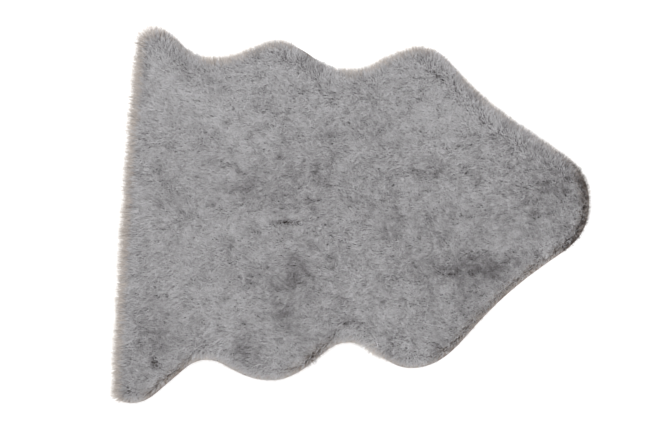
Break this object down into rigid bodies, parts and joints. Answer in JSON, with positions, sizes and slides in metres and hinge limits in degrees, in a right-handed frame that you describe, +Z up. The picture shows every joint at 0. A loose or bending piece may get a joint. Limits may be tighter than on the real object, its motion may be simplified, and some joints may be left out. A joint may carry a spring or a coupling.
{
  "type": "faux sheepskin rug",
  "caption": "Pelt-shaped faux fur rug with one straight end, wavy sides and a rounded tip, on a suede backing with an overlocked edge.",
  "frame": {"origin": "centre of the bounding box at floor height, on the underside of the suede backing", "axes": "+X from the straight end towards the rounded tip, +Y to the left of that, +Z up out of the pile"},
  "size_m": [0.899, 0.7038, 0.0201],
  "materials": {
    "fur": "soft grey acrylic pile with paler tips",
    "underfur": "dense matte brown acrylic undercoat",
    "knit": "matte warp-knitted polyester",
    "latex": "dull dried latex film",
    "suede": "brushed brown microsuede",
    "thread": "spun polyester sewing thread",
    "label": "smooth off-white satin ribbon"
  },
  "bodies": {
    "root": {"suede_backing": "suede", "latex_coating": "latex", "knit_ground": "knit", "upper_looper_thread": "thread", "lower_looper_thread": "thread", "needle_thread": "thread", "undercoat": "underfur", "guard_hair": "fur", "care_label": "label"}
  },
  "joints": []
}
